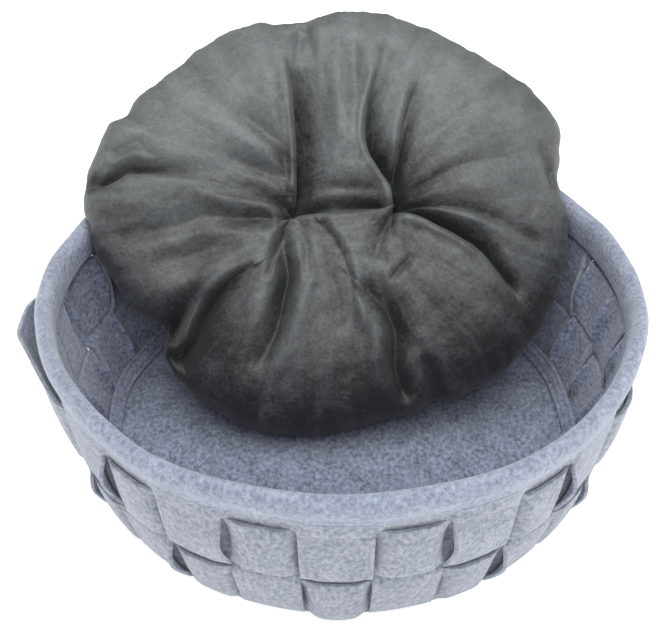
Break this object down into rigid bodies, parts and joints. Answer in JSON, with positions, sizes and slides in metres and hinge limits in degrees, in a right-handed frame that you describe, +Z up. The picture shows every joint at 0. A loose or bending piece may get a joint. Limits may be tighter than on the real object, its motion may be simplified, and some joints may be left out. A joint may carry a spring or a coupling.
{
  "type": "dog bed, woven felt basket with a cushion",
  "caption": "Round open basket of woven felt strips with a soft rolled rim, and a tufted plush cushion leaning on its back rim.",
  "frame": {"origin": "centre of the flat underside of the floor panel", "axes": "+Z up out of the basket, -Y towards the front, where the cushion's lower edge lies"},
  "size_m": [0.5187, 0.4984, 0.3001],
  "materials": {
    "felt": "matt mottled needle-punched felt",
    "plush": "short-pile velour with a soft sheen"
  },
  "bodies": {
    "root": {"floor_panel": "felt", "base_seam_band": "felt", "rim_and_tabs": "felt", "lower_band": "felt", "upper_band": "felt", "cushion": "plush"}
  },
  "joints": []
}
